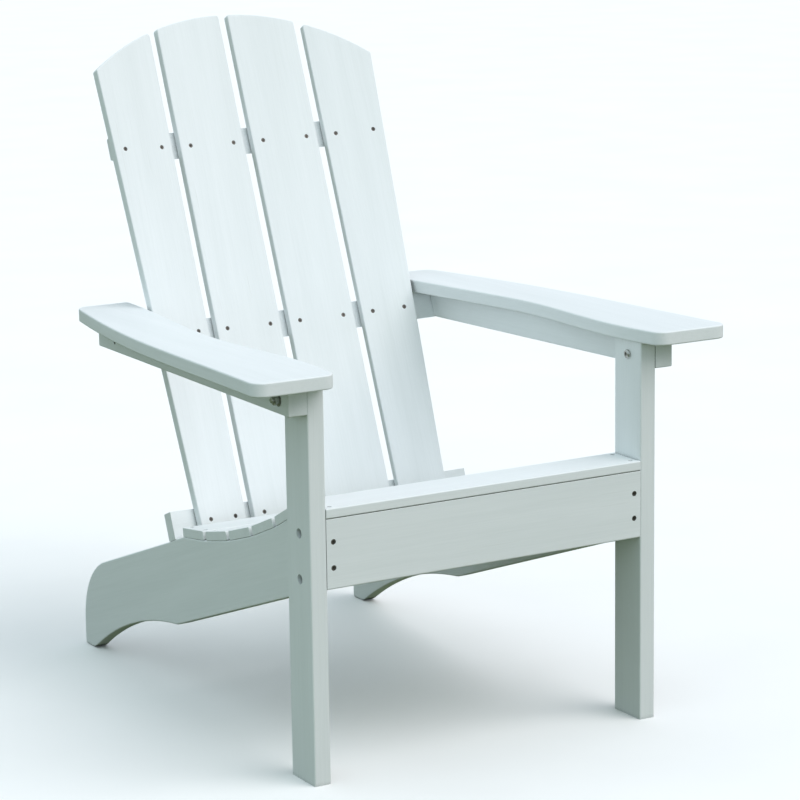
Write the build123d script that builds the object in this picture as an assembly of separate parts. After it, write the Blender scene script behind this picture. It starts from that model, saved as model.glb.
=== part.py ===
from build123d import *

import os
from math import atan, cos, radians, sin, sqrt, tan

# Adirondack garden chair in solid plastic lumber, millimetres.
# +Z is up and the sitter faces -Y. X = 0 is the middle of the chair, and "left" is the -X side.
# The chair is drawn with Y = 0 on the front faces of the front legs and Z = 0 on the floor. It is
# written out with its origin on the floor, half way between its front and rear ends.

# Overall sizes
SEAT_WIDTH = 505.0  # between the front legs, and over the two stringers
SEAT_HEIGHT = 380.0  # top of the front seat slat
ARM_RISE = 168.6  # from the seat up to the armrests' underside, at the front faces of the legs
REAR_END = 793.4  # rear ends of the stringers
BACK_RECLINE = 21.9  # degrees from the vertical
ARM_SLOPE = 0.012  # fall of the armrests towards the rear

# Board stock
LEG_THICKNESS = 25.0
LEG_DEPTH = 64.0
APRON_THICKNESS = 20.0
STRINGER_THICKNESS = 21.0
SLAT_THICKNESS = 13.5
ARMREST_THICKNESS = 19.3
ARM_RAIL_THICKNESS = 25.0
ARM_RAIL_DEPTH = 39.3
BACK_RAIL_THICKNESS = 22.0
BACK_RAIL_HEIGHT = 41.0
EASE = 2.2  # rounding on the long edges of the boards
SLAT_EASE = 1.8  # rounding on the edges of the thin slats
END_EASE = 0.8  # rounding on their sawn ends

# Seat
SEAT_SLAT_WIDTH = 65.7
SEAT_CURVE_RADIUS = 908.0  # of the dished seat, under the slats
SEAT_CURVE_CENTRE_Y = 519.1
SEAT_CURVE_DEPTH = 134.4  # from the front slat's top down to the lowest point of that curve
REAR_SLAT_ANGLE = 7.59  # slope of the rearmost slat, degrees
SEAT_SLAT_PITCH = 75.4  # along the curve
CURVED_SLATS = 5
APRON_DEPTH = 96.5
APRON_GAP = 0.8  # under the front slat

# Stringers
TAIL_SLOPE = 19.2  # degrees, of the top edge behind the back
TAIL_START_Y = 481.5  # a point on that edge, and its depth below the seat
TAIL_START_DROP = 150.9
TAIL_ROUNDING = 0.946  # radius of the tail's top corner, as a share of that corner's height
HEEL_LENGTH = 32.9  # foot of the stringer on the floor, before its corners are rounded
HEEL_FRONT_RADIUS = 25.0
HEEL_REAR_RADIUS = 5.0
KNEE_Y = 463.0  # low corner of the underside, and its depth below the seat
KNEE_DROP = 271.0
KNEE_RADIUS = 25.0
UNDERSIDE_SLOPE = 0.354
REAR_ARCH = 19.5  # rise of the hollow between knee and heel

# Back
BACK_FOOT_Y = 491.05  # front face of the back on the centre line, where back heights start
BACK_FOOT_DROP = 74.75  # of that point below the seat
INNER_FACET = 2.2  # degrees that the two middle slats turn inwards
OUTER_FACET = 6.6  # degrees that the two outer slats turn inwards
BACK_SET_IN = 41.2  # from the seat's side in to an outer slat's edge at OUTER_EDGE_HEIGHT
OUTER_EDGE_HEIGHT = -35.0
MIDDLE_GAP = 15.0
SLAT_GAP = 14.1  # between an inner and an outer slat
INNER_SLAT_SHARE = 0.581  # of the width of one inner and one outer slat together
OUTER_EDGE_FLARE = 0.036
BACK_SLAT_BOTTOM = -75.0
BACK_TOP = 718.7
BACK_TOP_RADIUS = 390.0
TOP_CORNER_RADIUS = 4.0
UPPER_RAIL_HEIGHT = 520.1  # middles of the rails, measured up the back
LOWER_RAIL_HEIGHT = -52.5
UPPER_RAIL_INSET = 6.8  # of its ends from the outer slats' edges
MIDDLE_RAIL_CLEARANCE = 0.3  # under the armrests
BACK_SCREW_INSET = 18.0  # of the screws from the edges of their slat
SCREW_ROW_DROPS = {"upper": 4.6, "middle": 0.6, "lower": -0.3}  # below the middle of each rail
SCREW_COVER = 3.5  # wood left past a screw's point

# Armrests and the rails under them
ARM_FRONT = -41.0
ARM_REAR = 660.0
# Points of an armrest's outer edge from front to rear: X out of the leg's outer face, then Y
ARM_OUTER_EDGE = ((97.5, ARM_FRONT), (88.5, 128.0), (74.5, 372.0), (42.5, 590.0), (28.5, ARM_REAR))
# Points of its inner edge, as far as the back
ARM_INNER_EDGE = ((-21.5, ARM_FRONT), (-30.5, 120.0), (-19.5, 290.0), (-34.5, 452.0))
ARM_BACK_CLEARANCE = 6.1  # between an armrest and the back, at ARM_BESIDE_BACK
ARM_BESIDE_BACK = 590.0
ARM_TAPER = 5.0  # of the inner edge from there to the rear end
ARM_CORNER_RADIUS = 20.0
ARM_INNER_CORNER_RADIUS = 6.0  # beside the back
ARM_RAIL_REAR = 645.0
ARM_RAIL_TOE_IN = 0.040

# Fasteners
SCREW_HEAD = 6.4
APRON_SCREW_HEAD = 7.4
SCREW_SHANK = 3.5
SCREW_RIM = 0.5  # upright edge of a countersunk head
SCREW_POINT = 0.3  # radius of the blunted point
SCREW_SINK = 0.9  # of a head below the surface
SCREW_DRIVE = 2.5  # width of the square socket
SCREW_DRIVE_DEPTH = 1.8
SCREW_CLEARANCE = 0.15
APRON_SCREW_LENGTH = 50.0
SEAT_SCREW_LENGTH = 32.0
ARMREST_SCREW_LENGTH = 50.0
LOWER_RAIL_SCREW_LENGTH = 60.0
ARM_RAIL_SCREW_LENGTH = 55.0
ARMREST_SCREW_Y = (110.0, 300.0, 490.0)
SCREW_EDGE = 5.0  # from a lower rail screw's axis to the rail's front or rear face
ARM_RAIL_SCREW_SHARE = 0.7  # depth of its axis into the middle rail, as a share of the thickness
SEAT_SCREW_OFFSET = 22.0  # of each screw from the middle of its slat
BOLT = 8.0
BOLT_CLEARANCE = 0.25
BOLT_HEAD = 12.6
BOLT_HEAD_HEIGHT = 4.4
HEAD_CLEARANCE = 0.6  # around a bolt head in its counterbore
LEG_COUNTERBORE_DEPTH = 12.0
SOCKET = 5.0  # across the flats of the hexagon socket
SOCKET_DEPTH = 2.6
NUT = 13.0  # across the flats
NUT_HEIGHT = 6.5
WASHER = 17.0
WASHER_THICKNESS = 1.6
BOLT_POINT = 2.0  # length of bolt past its nut
LEG_BOLT_Y = 29.9
LEG_BOLT_DROPS = (35.7, 98.7)  # below the seat
ARM_BOLT_Y = 30.6
ARM_BOLT_DROP = 20.3  # below the armrests' underside
WASHER_CLEARANCE = 1.0  # around a washer on its spot face
SPOT_FACE_DEPTH = 0.6
APRON_SCREW_DROPS = (45.9, 81.6)  # below the seat

# Sizes that follow
seat_half = SEAT_WIDTH / 2
leg_outer = seat_half + LEG_THICKNESS
stringer_inner = seat_half - STRINGER_THICKNESS
stringer_middle = seat_half - STRINGER_THICKNESS / 2
seat_slat_under = SEAT_HEIGHT - SLAT_THICKNESS
apron_top = seat_slat_under - APRON_GAP
arm_height = SEAT_HEIGHT + ARM_RISE
arm_bolt = (ARM_BOLT_Y, arm_height - ARM_BOLT_DROP)
knee = (KNEE_Y, SEAT_HEIGHT - KNEE_DROP)
back_foot_z = SEAT_HEIGHT - BACK_FOOT_DROP
lean = radians(BACK_RECLINE)
slats_half = seat_half - BACK_SET_IN
inner_slat_start = MIDDLE_GAP / 2
inner_slat_end = inner_slat_start + INNER_SLAT_SHARE * (slats_half - inner_slat_start - SLAT_GAP)
outer_slat_start = inner_slat_end + SLAT_GAP
facet_break = inner_slat_end + SLAT_GAP / 2  # where the inner and outer facets meet
back_screw_length = SLAT_THICKNESS + BACK_RAIL_THICKNESS - SCREW_COVER
origin_y = (ARM_FRONT + REAR_END) / 2
FAR = 2000.0  # longer than the chair, for cutting


def arm_under(y):
    """Height of the armrests' underside."""
    return arm_height - ARM_SLOPE * y


def mirrored(shape):
    return mirror(shape, about=Plane.YZ)


def joined(shapes):
    """Separate solids that are kept in one piece of the list."""
    return Compound(children=[solid for shape in shapes for solid in shape.solids()])


def side_board(outline, inner_x, thickness):
    """A board that stands along the chair, from a closed outline in Y and Z."""
    face = Plane.YZ.offset(inner_x) * make_face(outline)
    return extrude(face, thickness)


def cut_all(board, cutters):
    for cutter in cutters:
        board -= cutter
    return board


# ---- fasteners ----


def screw(length, head=SCREW_HEAD):
    """A countersunk screw with a square socket, point down: Z = 0 is the surface that it is sunk in."""
    cone = (head - SCREW_SHANK) / 2
    tip = SCREW_SHANK
    profile = make_face(Polyline(
        (0, 0), (head / 2, 0), (head / 2, -SCREW_RIM), (SCREW_SHANK / 2, -SCREW_RIM - cone),
        (SCREW_SHANK / 2, tip - length), (SCREW_POINT, -length), (0, -length), (0, 0)))
    body = revolve(Plane.XZ * profile, Axis.Z)
    body -= extrude(Plane.XY * Rectangle(SCREW_DRIVE, SCREW_DRIVE), -SCREW_DRIVE_DEPTH)
    return Pos(0, 0, -SCREW_SINK) * body


def screw_hole(length, head=SCREW_HEAD):
    """The hole for that screw: a countersink, then a bore a little wider than the shank."""
    wide = head / 2 + SCREW_CLEARANCE
    narrow = SCREW_SHANK / 2 + SCREW_CLEARANCE
    rim = -SCREW_SINK - SCREW_RIM - SCREW_CLEARANCE
    end = -SCREW_SINK - length - 1
    above = 1.0
    profile = make_face(Polyline(
        (0, above), (wide, above), (wide, rim), (narrow, rim - wide + narrow), (narrow, end),
        (0, end), (0, above)))
    return revolve(Plane.XZ * profile, Axis.Z)


def facing(point, direction):
    """The place of a fastener whose head faces a direction."""
    return Plane(origin=point, z_dir=direction).location


def bolt(grip):
    """A button-head bolt with a hexagon socket: underside of the head at Z = 0, shank down."""
    length = grip + 2 * WASHER_THICKNESS + NUT_HEIGHT + BOLT_POINT
    head = extrude(Circle(BOLT_HEAD / 2), BOLT_HEAD_HEIGHT)
    head = fillet(head.edges().sort_by(Axis.Z)[-1], BOLT_HEAD_HEIGHT * 0.6)
    socket = Plane.XY.offset(BOLT_HEAD_HEIGHT) * RegularPolygon(SOCKET / 2, 6, major_radius=False)
    shank = extrude(Circle(BOLT / 2), -length)
    shank = chamfer(shank.edges().sort_by(Axis.Z)[0], BOLT / 8)
    return head + shank - extrude(socket, -SOCKET_DEPTH)


def nut():
    """A hexagon nut, from Z = 0 down."""
    blank = extrude(RegularPolygon(NUT / 2, 6, major_radius=False), -NUT_HEIGHT)
    turned = extrude(Circle(NUT / sqrt(3)), -NUT_HEIGHT)
    turned = chamfer(turned.edges(), NUT * 0.06)
    return (blank & turned) - extrude(Circle(BOLT / 2 + BOLT_CLEARANCE), -NUT_HEIGHT)


def washer():
    """A flat washer, from Z = 0 down."""
    ring = Circle(WASHER / 2) - Circle(BOLT / 2 + BOLT_CLEARANCE)
    return extrude(ring, -WASHER_THICKNESS)


def bolt_hole(radius, start_x, end_x, y, z):
    """A hole across the chair on the right-hand side, between two X positions."""
    return extrude(Plane(origin=(start_x, y, z), z_dir=(1, 0, 0)) * Circle(radius), end_x - start_x)


# ---- stringers and seat ----


def seat_plane(index):
    """Underside of a curved seat slat, 0 at the rear: local X along the chair, Z up out of the seat."""
    angle = radians(REAR_SLAT_ANGLE) + index * SEAT_SLAT_PITCH / SEAT_CURVE_RADIUS
    y = SEAT_CURVE_CENTRE_Y - SEAT_CURVE_RADIUS * sin(angle)
    z = SEAT_HEIGHT - SEAT_CURVE_DEPTH + SEAT_CURVE_RADIUS * (1 - cos(angle))
    return Plane(origin=(0, y, z), x_dir=(1, 0, 0), z_dir=(0, sin(angle), cos(angle)))


def back_point(x, height, depth):
    """A point on the back: height is up the slope, depth is out of its flat front plane."""
    y = BACK_FOOT_Y + height * sin(lean) - depth * cos(lean)
    z = back_foot_z + height * cos(lean) + depth * sin(lean)
    return (x, y, z)


def facet_depth(x):
    """How far the front of the dished back stands forward of its middle."""
    inner = min(x, facet_break) * tan(radians(INNER_FACET))
    outer = max(x - facet_break, 0) * tan(radians(OUTER_FACET))
    return inner + outer


def rail_depth(x):
    """How far the rear of the back slats, where the rails bear, stands forward of the same plane."""
    inner_turn = radians(INNER_FACET)
    outer_turn = radians(OUTER_FACET)
    inner = x * tan(inner_turn) - SLAT_THICKNESS / cos(inner_turn)
    outer = facet_depth(facet_break) + (x - facet_break) * tan(outer_turn)
    return max(inner, outer - SLAT_THICKNESS / cos(outer_turn))


def rail_break():
    """Where the two facets of a rail's front face meet."""
    inner_turn = radians(INNER_FACET)
    outer_turn = radians(OUTER_FACET)
    gain = SLAT_THICKNESS * (1 / cos(outer_turn) - 1 / cos(inner_turn))
    return facet_break + gain / (tan(outer_turn) - tan(inner_turn))


def stringer_top():
    """Top edge from the front: a flat under each seat slat, then the seat of the lower back rail."""
    points = [(APRON_THICKNESS, seat_slat_under), (LEG_DEPTH, seat_slat_under)]
    for index in reversed(range(CURVED_SLATS)):
        plane = seat_plane(index)
        for side in (1, -1):
            corner = plane.from_local_coords((0, side * SEAT_SLAT_WIDTH / 2, 0))
            points.append((corner.Y, corner.Z))
    depth = rail_depth(stringer_middle)
    base = LOWER_RAIL_HEIGHT - BACK_RAIL_HEIGHT / 2
    for behind in (0, BACK_RAIL_THICKNESS):
        points.append(back_point(0, base, depth - behind)[1:])
    return sorted(points, key=lambda point: point[0])


def stringer_outline():
    tail_z = SEAT_HEIGHT - TAIL_START_DROP - (REAR_END - TAIL_START_Y) * tan(radians(TAIL_SLOPE))
    heel_front = (REAR_END - HEEL_LENGTH, 0)
    front_z = knee[1] + UNDERSIDE_SLOPE * (knee[0] - APRON_THICKNESS)
    top = stringer_top()
    edge = Polyline(*top, (REAR_END, tail_z), (REAR_END, 0), heel_front)
    edge += SagittaArc(heel_front, knee, -REAR_ARCH)
    edge += Polyline(knee, (APRON_THICKNESS, front_z), top[0])
    face = make_face(edge)
    for corner, radius in (
        ((REAR_END, tail_z), TAIL_ROUNDING * tail_z),
        ((REAR_END, 0), HEEL_REAR_RADIUS),
        (heel_front, HEEL_FRONT_RADIUS),
        (knee, KNEE_RADIUS),
    ):
        vertex = face.vertices().sort_by_distance((corner[0], corner[1], 0))[0]
        face = fillet(vertex, radius)
    return face


def seat_slat(plane):
    """A slat with rounded long edges, lying on a plane across the chair."""
    section = RectangleRounded(SEAT_SLAT_WIDTH, SLAT_THICKNESS, SLAT_EASE)
    middle = plane.from_local_coords((0, 0, SLAT_THICKNESS / 2))
    across = Plane(origin=middle, x_dir=plane.y_dir, z_dir=(1, 0, 0))
    board = extrude(across * section, seat_half, both=True)
    ends = board.faces().filter_by(Axis.X)
    return fillet([edge for face in ends for edge in face.edges()], END_EASE)


def seat_screw_places(plane):
    """Where the screws go down through a slat into the stringers."""
    places = []
    for x in (-stringer_middle, stringer_middle):
        for offset in (-SEAT_SCREW_OFFSET, SEAT_SCREW_OFFSET):
            point = plane.from_local_coords((x, offset, SLAT_THICKNESS))
            places.append(facing(point, plane.z_dir))
    return places


# ---- back ----


def facet_plane(start_x, angle):
    """Front face of a back slat: local X across the slat, Y up it, Z out to the sitter."""
    turn = radians(angle)
    origin = back_point(start_x, 0, facet_depth(start_x))
    forward = (0, -cos(lean), sin(lean))
    out = (-sin(turn), forward[1] * cos(turn), forward[2] * cos(turn))
    along = (cos(turn), forward[1] * sin(turn), forward[2] * sin(turn))
    return Plane(origin=origin, x_dir=along, z_dir=out)


def back_slat(plane, left, right_low, right_high):
    """A right-hand back slat, cut to the shared round top."""
    top = BACK_TOP + TOP_CORNER_RADIUS
    outline = Polyline(
        (left, BACK_SLAT_BOTTOM), (right_low, BACK_SLAT_BOTTOM), (right_high, top), (left, top),
        (left, BACK_SLAT_BOTTOM))
    board = extrude(plane * make_face(outline), -SLAT_THICKNESS)
    centre = back_point(0, BACK_TOP - BACK_TOP_RADIUS, 0)
    round_top = Plane(origin=centre, x_dir=(1, 0, 0), z_dir=(0, -cos(lean), sin(lean)))
    disc = extrude(round_top * Circle(BACK_TOP_RADIUS), FAR, both=True)
    lower = extrude(round_top * Pos(0, -FAR / 2) * Rectangle(FAR, FAR), FAR, both=True)
    board = board & (disc + lower)
    upright = [edge for edge in board.edges() if abs(edge.length - SLAT_THICKNESS) < 1.0]
    top_corners = [edge for edge in upright if edge.center().Z > back_foot_z]
    board = fillet(top_corners, TOP_CORNER_RADIUS)
    return fillet(front_and_rear_edges(board, plane), SLAT_EASE)


def front_and_rear_edges(board, plane):
    """The edges around a slat's front and rear faces."""
    faces = [face for face in board.faces() if abs(face.normal_at().dot(plane.z_dir)) > 0.99]
    return [edge for face in faces for edge in face.edges()]


def outer_edge(height):
    return slats_half + OUTER_EDGE_FLARE * (height - OUTER_EDGE_HEIGHT)


def back_rail(height, end_x):
    """A rail behind the slats: faceted in front to seat them, one smooth curve behind."""
    stations = (-end_x, -rail_break(), 0, rail_break(), end_x)
    front = [(x, rail_depth(abs(x))) for x in stations]
    behind = [(x, rail_depth(abs(x)) - BACK_RAIL_THICKNESS) for x in (end_x, 0, -end_x)]
    outline = Polyline(*front, behind[0]) + ThreePointArc(*behind) + Line(behind[-1], front[0])
    low = back_point(0, height - BACK_RAIL_HEIGHT / 2, 0)
    # Local X runs across the chair and local Y out to the sitter, so the rail is drawn up the slope.
    plane = Plane(origin=low, x_dir=(1, 0, 0), z_dir=(0, sin(lean), cos(lean)))
    flipped = mirror(make_face(outline), about=Plane.XZ)
    rail = extrude(plane * flipped, BACK_RAIL_HEIGHT)
    long_edges = [edge for edge in rail.edges() if edge.length > BACK_RAIL_HEIGHT * 2]
    rear_edges = [edge for edge in long_edges if edge.geom_type == GeomType.CIRCLE]
    return fillet(rear_edges, EASE)


def levelled(rail, height):
    """A rail with its underside cut level from front to rear, below each facet of its front face."""
    bottom = height - BACK_RAIL_HEIGHT / 2
    for start, angle in ((0, INNER_FACET), (rail_break(), OUTER_FACET)):
        corner = back_point(start, bottom, rail_depth(start))
        rise = sin(lean) * tan(radians(angle))
        under = Plane(origin=corner, x_dir=(1, 0, rise), z_dir=(-rise, 0, 1))
        waste = extrude(under * Rectangle(FAR, FAR), -BACK_RAIL_HEIGHT)
        rail = rail - waste - mirrored(waste)
    return rail


def middle_rail_height():
    """Middle of the middle rail, whose top front edge stays just clear of the sloping armrests."""
    depth = rail_depth(leg_outer)
    rise = arm_under(BACK_FOOT_Y) - MIDDLE_RAIL_CLEARANCE - back_foot_z
    top = (rise - depth * (sin(lean) - ARM_SLOPE * cos(lean))) / (cos(lean) + ARM_SLOPE * sin(lean))
    return top - BACK_RAIL_HEIGHT / 2


def back_screw_columns(height):
    """X, across one half of the back, of the screws in a rail: one near each edge of a slat."""
    edges = ((inner_slat_start, inner_slat_end), (outer_slat_start, outer_edge(height)))
    return [x for low, high in edges for x in (low + BACK_SCREW_INSET, high - BACK_SCREW_INSET)]


def back_screw_places(height):
    places = []
    for x in back_screw_columns(height):
        for side in (-1, 1):
            angle = INNER_FACET if x < facet_break else OUTER_FACET
            out = facet_plane(0, angle).z_dir
            point = back_point(side * x, height, facet_depth(x))
            places.append(facing(point, (side * out.X, out.Y, out.Z)))
    return places


# ---- arms ----


def arm_plane():
    """Underside of the armrests, falling gently to the rear."""
    fall = atan(ARM_SLOPE)
    return Plane(origin=(0, 0, arm_height), x_dir=(1, 0, 0), z_dir=(0, sin(fall), cos(fall)))


def armrest():
    """The right-hand armrest: broad in front, drawn in beside the back."""
    beside_back = outer_edge(middle_rail_height()) + ARM_BACK_CLEARANCE
    outer_points = [(leg_outer + x, y) for x, y in ARM_OUTER_EDGE]
    inner_points = [(leg_outer + x, y) for x, y in ARM_INNER_EDGE]
    inner_points += [(beside_back, ARM_BESIDE_BACK), (beside_back - ARM_TAPER, ARM_REAR)]
    front_outer, rear_outer = outer_points[0], outer_points[-1]
    front_inner, rear_inner = inner_points[0], inner_points[-1]
    outline = Spline(*outer_points) + Line(rear_outer, rear_inner)
    outline += Spline(*reversed(inner_points)) + Line(front_inner, front_outer)
    face = make_face(outline)
    for corner, radius in (
        (front_outer, ARM_CORNER_RADIUS),
        (front_inner, ARM_CORNER_RADIUS),
        (rear_outer, ARM_CORNER_RADIUS),
        (rear_inner, ARM_INNER_CORNER_RADIUS),
    ):
        vertex = face.vertices().sort_by_distance((corner[0], corner[1], 0))[0]
        face = fillet(vertex, radius)
    board = extrude(face, ARMREST_THICKNESS)
    edges = board.edges().group_by(Axis.Z)
    board = fillet(edges[0] + edges[-1], EASE)
    return arm_plane().location * board


def arm_rail_outer(y):
    """X of an arm rail's outer face, which toes in towards the rear."""
    return leg_outer + ARM_RAIL_THICKNESS + ARM_RAIL_TOE_IN * (LEG_DEPTH - y)


def arm_rail():
    """The right-hand rail under an armrest: it lands flat on the leg, then toes in."""
    plan = Polyline(
        (leg_outer, 0), (arm_rail_outer(0), 0), (arm_rail_outer(ARM_RAIL_REAR), ARM_RAIL_REAR),
        (arm_rail_outer(ARM_RAIL_REAR) - ARM_RAIL_THICKNESS, ARM_RAIL_REAR), (leg_outer, LEG_DEPTH),
        (leg_outer, 0))
    rail = extrude(make_face(plan), -ARM_RAIL_DEPTH)
    low = rail.edges().group_by(Axis.Z)[0]
    ends = rail.edges().filter_by(Axis.Z).group_by(Axis.Y)
    return arm_plane().location * fillet(low + ends[-1], EASE)


def arm_rail_inside():
    """Everything beyond the inner face of the right-hand arm rail, for trimming the middle rail."""
    front = arm_rail_outer(0) - ARM_RAIL_THICKNESS
    rear = arm_rail_outer(FAR) - ARM_RAIL_THICKNESS
    plan = Polyline((front, 0), (front + FAR, 0), (rear + FAR, FAR), (rear, FAR), (front, 0))
    return arm_plane().location * extrude(make_face(plan), FAR, both=True)


# ---- making the pieces ----

# Front legs, cut along the slope of the armrests
leg_outline = Polyline(
    (0, 0), (LEG_DEPTH, 0), (LEG_DEPTH, arm_under(LEG_DEPTH)), (0, arm_under(0)), (0, 0))
leg = side_board(leg_outline, seat_half, LEG_THICKNESS)
leg = fillet([edge for edge in leg.edges() if edge.length > LEG_DEPTH * 2], EASE)
leg = fillet(leg.faces().sort_by(Axis.Z)[-1].edges(), END_EASE)

stringer = extrude(Plane.YZ.offset(stringer_inner) * stringer_outline(), STRINGER_THICKNESS)
rims = [edge for face in stringer.faces().filter_by(Axis.X) for edge in face.edges()]
stringer = fillet([edge for edge in rims if edge.center().Z < seat_slat_under - EASE], EASE)

# Bolts through the legs: into the stringers, and into the arm rails
leg_bolt_heights = [SEAT_HEIGHT - drop for drop in LEG_BOLT_DROPS]
counterbore_radius = BOLT_HEAD / 2 + HEAD_CLEARANCE
spot_face_radius = WASHER / 2 + WASHER_CLEARANCE
for z in leg_bolt_heights:
    shank_hole = bolt_hole(BOLT / 2 + BOLT_CLEARANCE, stringer_inner - 1, leg_outer + 1, LEG_BOLT_Y, z)
    counterbore = bolt_hole(
        counterbore_radius, leg_outer - LEG_COUNTERBORE_DEPTH, leg_outer + 1, LEG_BOLT_Y, z)
    leg = cut_all(leg, [shank_hole, counterbore])
    stringer -= shank_hole
spot_x = arm_rail_outer(ARM_BOLT_Y + spot_face_radius) - SPOT_FACE_DEPTH
arm_bolt_hole = bolt_hole(BOLT / 2 + BOLT_CLEARANCE, seat_half - 1, FAR, *arm_bolt)
leg -= arm_bolt_hole
rail_right = arm_rail()
rail_right -= arm_bolt_hole
rail_right -= bolt_hole(spot_face_radius, spot_x, FAR, *arm_bolt)

leg_bolt_grip = LEG_THICKNESS - LEG_COUNTERBORE_DEPTH + STRINGER_THICKNESS
leg_bolt_sets = {"leg_bolts": [], "leg_bolt_washers": [], "leg_bolt_nuts": []}
for z in leg_bolt_heights:
    head_seat = facing((leg_outer - LEG_COUNTERBORE_DEPTH, LEG_BOLT_Y, z), (1, 0, 0))
    nut_seat = facing((stringer_inner, LEG_BOLT_Y, z), (1, 0, 0))
    leg_bolt_sets["leg_bolts"].append(head_seat * bolt(leg_bolt_grip))
    leg_bolt_sets["leg_bolt_washers"].append(nut_seat * washer())
    leg_bolt_sets["leg_bolt_nuts"].append(nut_seat * Pos(0, 0, -WASHER_THICKNESS) * nut())

arm_bolt_grip = spot_x - seat_half
arm_head_seat = facing((seat_half, *arm_bolt), (-1, 0, 0))
arm_nut_seat = facing((spot_x, *arm_bolt), (-1, 0, 0))
arm_bolt_sets = {
    "arm_bolts": [arm_head_seat * bolt(arm_bolt_grip)],
    "arm_bolt_washers": [arm_nut_seat * washer()],
    "arm_bolt_nuts": [arm_nut_seat * Pos(0, 0, -WASHER_THICKNESS) * nut()],
}

# Front apron between the legs, screwed to the front ends of the stringers
apron_section = Plane.YZ * Pos(APRON_THICKNESS / 2, apron_top - APRON_DEPTH / 2)
apron_section *= Rectangle(APRON_THICKNESS, APRON_DEPTH)
apron = extrude(apron_section, seat_half, both=True)
for height_order, radius in ((0, EASE), (-1, END_EASE)):
    front_edge = apron.edges().filter_by(Axis.X).group_by(Axis.Z)[height_order].sort_by(Axis.Y)[0]
    apron = fillet(front_edge, radius)
apron_places = [
    facing((side * stringer_middle, 0, SEAT_HEIGHT - drop), (0, -1, 0))
    for side in (-1, 1) for drop in APRON_SCREW_DROPS]

# Seat slats: the front one lies level between the legs, the others follow the dished seat
front_plane = Plane(origin=(0, LEG_DEPTH / 2, seat_slat_under), x_dir=(1, 0, 0), z_dir=(0, 0, 1))
slat_planes = [front_plane] + [seat_plane(index) for index in reversed(range(CURVED_SLATS))]
seat_slats = []
seat_screw_sites = []
for plane in slat_planes:
    places = seat_screw_places(plane)
    seat_screw_sites += places
    seat_slats.append(cut_all(seat_slat(plane), [place * screw_hole(SEAT_SCREW_LENGTH) for place in places]))

# Back slats and the three rails behind them
inner_plane = facet_plane(0, INNER_FACET)
outer_plane = facet_plane(facet_break, OUTER_FACET)
turn_inner = cos(radians(INNER_FACET))
turn_outer = cos(radians(OUTER_FACET))
inner_right = inner_slat_end / turn_inner
inner_slat = back_slat(inner_plane, inner_slat_start / turn_inner, inner_right, inner_right)
outer_slat = back_slat(
    outer_plane,
    (outer_slat_start - facet_break) / turn_outer,
    (outer_edge(BACK_SLAT_BOTTOM) - facet_break) / turn_outer,
    (outer_edge(BACK_TOP + TOP_CORNER_RADIUS) - facet_break) / turn_outer)
middle_height = middle_rail_height()
upper_end = outer_edge(UPPER_RAIL_HEIGHT) - UPPER_RAIL_INSET
middle_rail = levelled(back_rail(middle_height, leg_outer), middle_height)
back_rails = {
    "upper": levelled(back_rail(UPPER_RAIL_HEIGHT, upper_end), UPPER_RAIL_HEIGHT),
    "middle": middle_rail - arm_rail_inside() - mirrored(arm_rail_inside()),
    "lower": back_rail(LOWER_RAIL_HEIGHT, seat_half),
}
rail_heights = {"upper": UPPER_RAIL_HEIGHT, "middle": middle_height, "lower": LOWER_RAIL_HEIGHT}
back_places = {
    row: back_screw_places(height - SCREW_ROW_DROPS[row]) for row, height in rail_heights.items()}
back_slats = {
    "back_slat_1": mirrored(outer_slat), "back_slat_2": mirrored(inner_slat),
    "back_slat_3": inner_slat, "back_slat_4": outer_slat}
for row, places in back_places.items():
    holes = [place * screw_hole(back_screw_length) for place in places]
    back_slats = {name: cut_all(slat, holes) for name, slat in back_slats.items()}
    back_rails[row] = cut_all(back_rails[row], holes)

# Screws down through the lower rail into the stringers
rail_top = LOWER_RAIL_HEIGHT + BACK_RAIL_HEIGHT / 2
rail_middle_depth = rail_depth(stringer_middle) - BACK_RAIL_THICKNESS / 2
spread = BACK_RAIL_THICKNESS / 2 - SCREW_EDGE
lower_rail_places = []
for side in (-1, 1):
    for along in (-spread, spread):
        point = back_point(side * stringer_middle, rail_top, rail_middle_depth + along)
        lower_rail_places.append(facing(point, (0, sin(lean), cos(lean))))
lower_holes = [place * screw_hole(LOWER_RAIL_SCREW_LENGTH) for place in lower_rail_places]
back_rails["lower"] = cut_all(back_rails["lower"], lower_holes)

# Screws through the rear of each arm rail into the end of the middle rail
rail_end_depth = rail_depth(leg_outer) - BACK_RAIL_THICKNESS * ARM_RAIL_SCREW_SHARE
rail_end_y, rail_end_z = back_point(0, middle_height, rail_end_depth)[1:]
toe = atan(ARM_RAIL_TOE_IN)
arm_rail_screw_place = facing(
    (arm_rail_outer(rail_end_y), rail_end_y, rail_end_z), (cos(toe), sin(toe), 0))
rail_screw_hole = arm_rail_screw_place * screw_hole(ARM_RAIL_SCREW_LENGTH)
rail_right -= rail_screw_hole
back_rails["middle"] = cut_all(back_rails["middle"], [rail_screw_hole, mirrored(rail_screw_hole)])

# Screws up through each arm rail into its armrest
arm_right = armrest()
armrest_places = []
for y in ARMREST_SCREW_Y:
    x = arm_rail_outer(y) - ARM_RAIL_THICKNESS / 2
    point = (x, y, arm_under(y) - ARM_RAIL_DEPTH)
    armrest_places.append(facing(point, (0, 0, -1)))
for place in armrest_places:
    hole = place * screw_hole(ARMREST_SCREW_LENGTH)
    rail_right -= hole
    arm_right -= hole

apron_holes = [place * screw_hole(APRON_SCREW_LENGTH, APRON_SCREW_HEAD) for place in apron_places]
seat_holes = [place * screw_hole(SEAT_SCREW_LENGTH) for place in seat_screw_sites]
front_slat_holes = seat_holes[:4]
apron = cut_all(apron, apron_holes + front_slat_holes)
stringer = cut_all(stringer, apron_holes + seat_holes + lower_holes)

# ---- writing the pieces ----

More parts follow.
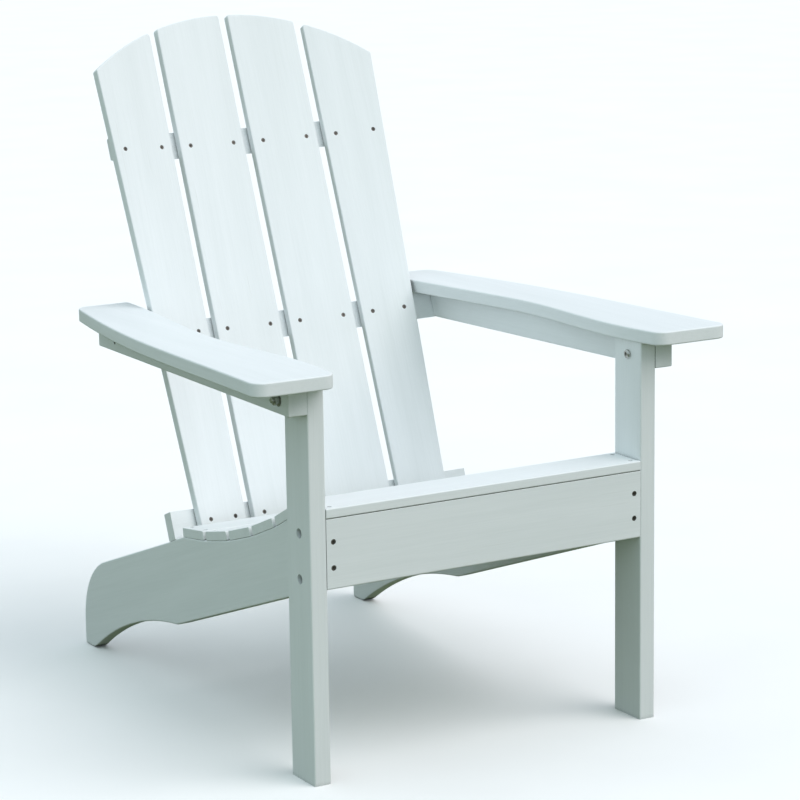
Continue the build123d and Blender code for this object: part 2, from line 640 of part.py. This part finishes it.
pieces = {
    "left_front_leg": mirrored(leg),
    "right_front_leg": leg,
    "left_stringer": mirrored(stringer),
    "right_stringer": stringer,
    "front_apron": apron,
    "left_armrest": mirrored(arm_right),
    "right_armrest": arm_right,
    "left_arm_rail": mirrored(rail_right),
    "right_arm_rail": rail_right,
}
for number, board in enumerate(seat_slats, start=1):
    pieces[f"seat_slat_{number}"] = board
pieces.update(back_slats)
for row, places in back_places.items():
    pieces[f"{row}_back_rail"] = back_rails[row]
    pieces[f"back_screws_{row}"] = joined([place * screw(back_screw_length) for place in places])
apron_screws = [place * screw(APRON_SCREW_LENGTH, APRON_SCREW_HEAD) for place in apron_places]
pieces["apron_screws"] = joined(apron_screws)
pieces["seat_slat_screws"] = joined([place * screw(SEAT_SCREW_LENGTH) for place in seat_screw_sites])
pieces["lower_rail_screws"] = joined(
    [place * screw(LOWER_RAIL_SCREW_LENGTH) for place in lower_rail_places])
rail_screw = arm_rail_screw_place * screw(ARM_RAIL_SCREW_LENGTH)
pieces["arm_rail_screws"] = joined([rail_screw, mirrored(rail_screw)])
armrest_screws = [place * screw(ARMREST_SCREW_LENGTH) for place in armrest_places]
pieces["armrest_screws"] = joined(armrest_screws + [mirrored(shape) for shape in armrest_screws])
for name, shapes in {**leg_bolt_sets, **arm_bolt_sets}.items():
    pieces[name] = joined(shapes + [mirrored(shape) for shape in shapes])

os.makedirs("parts", exist_ok=True)
for name, shape in pieces.items():
    export_step(Pos(0, -origin_y, 0) * shape, f"parts/{name}.step")
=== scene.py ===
from math import radians

import bpy
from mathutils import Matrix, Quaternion, Vector

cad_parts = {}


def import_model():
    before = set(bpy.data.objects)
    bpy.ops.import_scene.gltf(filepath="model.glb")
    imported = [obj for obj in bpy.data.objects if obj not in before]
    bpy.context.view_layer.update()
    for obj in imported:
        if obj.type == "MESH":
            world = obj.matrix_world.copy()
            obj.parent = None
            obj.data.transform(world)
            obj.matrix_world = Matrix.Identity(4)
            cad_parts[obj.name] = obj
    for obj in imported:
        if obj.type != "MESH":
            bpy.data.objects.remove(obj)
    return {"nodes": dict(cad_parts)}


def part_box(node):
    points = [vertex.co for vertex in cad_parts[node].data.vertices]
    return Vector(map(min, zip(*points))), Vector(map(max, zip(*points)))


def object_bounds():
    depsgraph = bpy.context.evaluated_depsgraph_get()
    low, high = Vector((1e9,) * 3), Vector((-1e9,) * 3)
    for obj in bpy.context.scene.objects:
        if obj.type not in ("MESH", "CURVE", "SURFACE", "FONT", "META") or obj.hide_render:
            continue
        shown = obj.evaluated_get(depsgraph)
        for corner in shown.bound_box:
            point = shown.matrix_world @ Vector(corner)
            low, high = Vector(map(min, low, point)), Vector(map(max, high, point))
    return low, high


# An adirondack chair in white plastic lumber. Metres, +Z up, the sitter faces -Y.

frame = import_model()
cad_low, cad_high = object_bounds()
nodes = frame["nodes"]

# Colours, as linear RGB
LUMBER_LIGHT = (0.84, 0.87, 0.885)
LUMBER_DARK = (0.765, 0.80, 0.81)
DUST = (0.45, 0.47, 0.43)
# painted shade, laid into the bolt holes and the joints between boards
CREVICE_SHADE = (0.10, 0.11, 0.10)
FLOOR_DARK = (0.93, 0.93, 0.93)
FLOOR_LIGHT = (0.96, 0.96, 0.96)
BOUNCE = (0.12, 0.15, 0.07)
SKY_LEFT = (0.70, 0.85, 0.88)
SKY_RIGHT = (0.67, 0.725, 0.79)
BACKDROP = (0.96, 1.0, 1.0)

# Sizes of surface detail, metres
# how far the painted crevice shade looks for nearby surfaces
CREVICE_REACH = 0.012
EDGE_RADIUS = 0.003
BAND_HEIGHT = 0.0006
GRAIN_HEIGHT = 0.00025
TOOL_MARK_HEIGHT = 0.0001

# Directions that the boards' grain runs in
ACROSS = (1, 0, 0)
UPRIGHT = (0, 0, 1)
FORE_AND_AFT = (0, 1, -0.012)
DOWN_THE_STRINGER = (0, 0.942, -0.335)

FLOOR_REACH = 60.0


# ---- small helpers for shader nodes ----


class Shader:
    """A material's node tree, with short calls for adding and joining nodes."""

    def __init__(self, name):
        self.material = bpy.data.materials.new(name)
        self.material.use_nodes = True
        self.tree = self.material.node_tree
        self.surface = self.tree.nodes["Principled BSDF"]

    def add(self, kind, **settings):
        node = self.tree.nodes.new("ShaderNode" + kind)
        for name, value in settings.items():
            if name in node.inputs:
                node.inputs[name].default_value = value
            else:
                setattr(node, name, value)
        return node

    def join(self, output, socket):
        self.tree.links.new(output, socket)

    def noise(self, vector, scale, detail=2.0, roughness=0.5):
        node = self.add("TexNoise", Scale=scale, Detail=detail, Roughness=roughness)
        self.join(vector, node.inputs["Vector"])
        return node.outputs["Fac"]

    def ramp(self, value, low, high, to_low=0.0, to_high=1.0):
        node = self.add("MapRange")
        node.inputs["From Min"].default_value = low
        node.inputs["From Max"].default_value = high
        node.inputs["To Min"].default_value = to_low
        node.inputs["To Max"].default_value = to_high
        self.join(value, node.inputs["Value"])
        return node.outputs["Result"]

    def math(self, operation, first, second):
        node = self.add("Math", operation=operation)
        for socket, value in zip(node.inputs, (first, second)):
            if isinstance(value, (int, float)):
                socket.default_value = value
            else:
                self.join(value, socket)
        return node.outputs["Value"]

    def mixture(self, first, second, share):
        """One value and another, where share is how much of the first there is."""
        return self.math(
            "ADD", self.math("MULTIPLY", first, share), self.math("MULTIPLY", second, 1 - share))

    def blend(self, factor, first, second):
        return blend_colours(self.tree, factor, first, second)

    def bump(self, height, strength, distance, normal=None):
        node = self.add("Bump", Strength=strength, Distance=distance)
        self.join(height, node.inputs["Height"])
        if normal is not None:
            self.join(normal, node.inputs["Normal"])
        return node.outputs["Normal"]


def blend_colours(tree, factor, first, second):
    """A Mix node between two colours, each of them a tuple or another node's output."""
    node = tree.nodes.new("ShaderNodeMix")
    node.data_type = "RGBA"
    tree.links.new(factor, node.inputs["Factor"])
    for socket, value in ((node.inputs[6], first), (node.inputs[7], second)):
        if isinstance(value, tuple):
            socket.default_value = (*value, 1.0)
        else:
            tree.links.new(value, socket)
    return node.outputs[2]


# ---- materials ----


def lumber(name, along, seed):
    """White plastic lumber with a fine brushed grain that runs along one direction."""
    shader = Shader(name)
    place = shader.add("TexCoord").outputs["Object"]
    turn = Vector((1, 0, 0)).rotation_difference(Vector(along)).to_euler()

    def stretched(length, offset):
        mapping = shader.add("Mapping", vector_type="TEXTURE")
        mapping.inputs["Location"].default_value = (offset, seed * 0.37, seed * 0.61)
        mapping.inputs["Rotation"].default_value = turn
        mapping.inputs["Scale"].default_value = (length, 1, 1)
        shader.join(place, mapping.inputs["Vector"])
        return mapping.outputs["Vector"]

    fine = shader.noise(stretched(60, seed), 1400, detail=3, roughness=0.65)
    streaks = shader.noise(stretched(45, seed + 3), 260, detail=4, roughness=0.6)
    bands = shader.noise(stretched(12, seed + 7), 28)
    patches = shader.noise(place, 6, detail=3)

    grain = shader.mixture(fine, streaks, 0.45)
    tone = shader.mixture(grain, bands, 0.6)
    colour = shader.blend(shader.ramp(tone, 0.35, 0.65), LUMBER_DARK, LUMBER_LIGHT)
    # a little dust settles in long shallow scratches and in patches
    dusty = shader.math(
        "MULTIPLY", shader.ramp(streaks, 0.62, 0.78), shader.ramp(patches, 0.45, 0.7, 0.05, 0.35))
    colour = shader.blend(dusty, colour, DUST)
    # painted shade: the colour darkens deep in the bolt holes and in the joints between boards, wherever
    # ambient occlusion finds the surface hemmed in
    open_air = shader.add("AmbientOcclusion", samples=4, Distance=CREVICE_REACH).outputs["AO"]
    colour = shader.blend(shader.ramp(open_air, 0.5, 0.15, 0.0, 0.9), colour, CREVICE_SHADE)
    shader.join(colour, shader.surface.inputs["Base Color"])

    # the rounded edges are rubbed smoother than the faces
    rounded = shader.add("Bevel", samples=4, Radius=EDGE_RADIUS)
    flat = shader.add("NewGeometry").outputs["Normal"]
    facing = shader.add("VectorMath", operation="DOT_PRODUCT")
    shader.join(rounded.outputs["Normal"], facing.inputs[0])
    shader.join(flat, facing.inputs[1])
    edge = shader.ramp(facing.outputs["Value"], 0.99, 0.9)
    rough = shader.ramp(grain, 0.3, 0.7, 0.42, 0.62)
    rough = shader.math("SUBTRACT", rough, shader.math("MULTIPLY", edge, 0.12))
    shader.join(rough, shader.surface.inputs["Roughness"])

    normal = shader.bump(bands, 0.25, BAND_HEIGHT)
    normal = shader.bump(grain, 0.5, GRAIN_HEIGHT, normal)
    shader.join(normal, shader.surface.inputs["Normal"])
    return shader.material


def metal(name, light, dark, roughness, metallic, scale):
    """Turned or coated metal with fine tool marks and a few smudges."""
    shader = Shader(name)
    place = shader.add("TexCoord").outputs["Object"]
    marks = shader.noise(place, scale, detail=4, roughness=0.7)
    smudges = shader.noise(place, scale / 12)
    tone = shader.mixture(marks, smudges, 0.5)
    colour = shader.blend(shader.ramp(tone, 0.35, 0.65), dark, light)
    shader.join(colour, shader.surface.inputs["Base Color"])
    low, high = roughness
    shader.join(shader.ramp(tone, 0.3, 0.7, low, high), shader.surface.inputs["Roughness"])
    shader.surface.inputs["Metallic"].default_value = metallic
    shader.join(shader.bump(marks, 0.3, TOOL_MARK_HEIGHT), shader.surface.inputs["Normal"])
    return shader.material


def wear(node, material):
    """Gives a CAD node its finished material."""
    mesh = nodes[node].data
    if not mesh.materials:
        mesh.materials.append(material)
    for index in range(len(mesh.materials)):
        mesh.materials[index] = material


def up_the_back():
    """The long direction of the back slats, from the box of one."""
    low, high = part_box("back_slat_2")
    return (0, high[1] - low[1], high[2] - low[2])


def grain_direction(node):
    """The way that a board's grain runs, or None for a fastener."""
    if "screws" in node or "bolt" in node:
        return None
    if node.startswith("seat_slat_") or node.endswith("_back_rail") or node == "front_apron":
        return ACROSS
    if node.startswith("back_slat_"):
        return up_the_back()
    if node.endswith("_leg"):
        return UPRIGHT
    if node.endswith("_stringer"):
        return DOWN_THE_STRINGER
    return FORE_AND_AFT


boards = sorted(node for node in nodes if grain_direction(node))
for seed, node in enumerate(boards):
    wear(node, lumber("lumber_" + node, grain_direction(node), seed))

dark_screw = metal("dark_screw", (0.20, 0.18, 0.16), (0.05, 0.05, 0.05), (0.3, 0.55), 0.8, 900)
white_screw = metal("white_screw", (0.80, 0.83, 0.82), (0.68, 0.71, 0.70), (0.35, 0.5), 0.0, 900)
# painted shade: a darker copy of the stainless steel, for the leg bolts that sit deep in their
# counterbores
shaded_stainless = metal("shaded_stainless", (0.34, 0.34, 0.33), (0.08, 0.08, 0.08), (0.25, 0.45), 1.0, 1200)
stainless = metal("stainless", (0.70, 0.70, 0.68), (0.34, 0.34, 0.33), (0.18, 0.38), 1.0, 1200)

for node in nodes:
    if node == "seat_slat_screws":
        wear(node, white_screw)
    # the leg bolts wear the darker, painted-shade copy of the steel
    elif node == "leg_bolts":
        wear(node, shaded_stainless)
    elif "screws" in node:
        wear(node, dark_screw)
    elif node not in boards:
        wear(node, stainless)


# ---- floor, light and camera ----


def place_in_scene(name, data):
    piece = bpy.data.objects.new(name, data)
    bpy.context.scene.collection.objects.link(piece)
    return piece


def floor():
    """A wide pale floor. Light that bounces off it is dim and olive, as it is over a lawn."""
    mesh = bpy.data.meshes.new("studio_floor")
    corners = [
        (-FLOOR_REACH, -FLOOR_REACH, 0), (FLOOR_REACH, -FLOOR_REACH, 0),
        (FLOOR_REACH, FLOOR_REACH, 0), (-FLOOR_REACH, FLOOR_REACH, 0)]
    mesh.from_pydata(corners, [], [(0, 1, 2, 3)])
    shader = Shader("studio_floor")
    place = shader.add("TexCoord").outputs["Object"]
    mottle = shader.noise(place, 3, detail=3)
    pale = shader.blend(shader.ramp(mottle, 0.3, 0.7), FLOOR_DARK, FLOOR_LIGHT)
    seen = shader.add("LightPath").outputs["Is Camera Ray"]
    shader.join(shader.blend(seen, BOUNCE, pale), shader.surface.inputs["Base Color"])
    shader.surface.inputs["Roughness"].default_value = 0.95
    shader.surface.inputs["Specular IOR Level"].default_value = 0.1
    mesh.materials.append(shader.material)
    place_in_scene("studio_floor", mesh)


def sun(name, towards, strength, spread, colour):
    """A soft light that falls evenly on the whole floor from one side."""
    lamp = bpy.data.lights.new(name, "SUN")
    lamp.energy = strength
    lamp.angle = radians(spread)
    lamp.color = colour
    place_in_scene(name, lamp).rotation_euler = Vector(towards).to_track_quat("Z", "Y").to_euler()


def camera():
    """A long lens, a little above the seat, that looks at the chair's left front corner."""
    azimuth, elevation, roll = radians(-30.31), radians(11.80), radians(-0.84)
    distance = 4.107
    aim_shares = (0.5, 0.330, 0.470)  # of the chair's box, from its low corner
    aim = Vector([low + share * (high - low) for low, high, share in zip(cad_low, cad_high, aim_shares)])
    out = Quaternion((0, 0, 1), azimuth) @ Quaternion((1, 0, 0), -elevation) @ Vector((0, -1, 0))
    lens = bpy.data.cameras.new("camera")
    lens.sensor_width = 36.0
    lens.lens = 129.87
    lens.clip_end = 100.0
    piece = place_in_scene("camera", lens)
    piece.location = aim + distance * out
    turn = (-out).to_track_quat("-Z", "Y") @ Quaternion((0, 0, 1), roll)
    piece.rotation_euler = turn.to_euler()
    bpy.context.scene.camera = piece


def world():
    """A soft sky, a little greener on the chair's left, behind a plain pale backdrop."""
    sky = bpy.data.worlds.new("studio")
    sky.use_nodes = True
    tree = sky.node_tree
    direction = tree.nodes.new("ShaderNodeTexCoord").outputs["Generated"]
    split = tree.nodes.new("ShaderNodeSeparateXYZ")
    tree.links.new(direction, split.inputs["Vector"])
    side = tree.nodes.new("ShaderNodeMapRange")
    side.interpolation_type = "SMOOTHSTEP"
    side.inputs["From Min"].default_value = -0.8
    side.inputs["From Max"].default_value = 0.5
    tree.links.new(split.outputs["X"], side.inputs["Value"])
    tint = blend_colours(tree, side.outputs["Result"], SKY_LEFT, SKY_RIGHT)
    seen = tree.nodes.new("ShaderNodeLightPath").outputs["Is Camera Ray"]
    colour = blend_colours(tree, seen, tint, BACKDROP)
    tree.links.new(colour, tree.nodes["Background"].inputs["Color"])
    bpy.context.scene.world = sky


floor()
sun("key", (0.40, -0.56, 0.76), 1.5, 50, (1.0, 0.97, 0.95))
camera()
world()
# whites stay white, where Blender's usual view transform greys them
bpy.context.scene.view_settings.view_transform = "Standard"
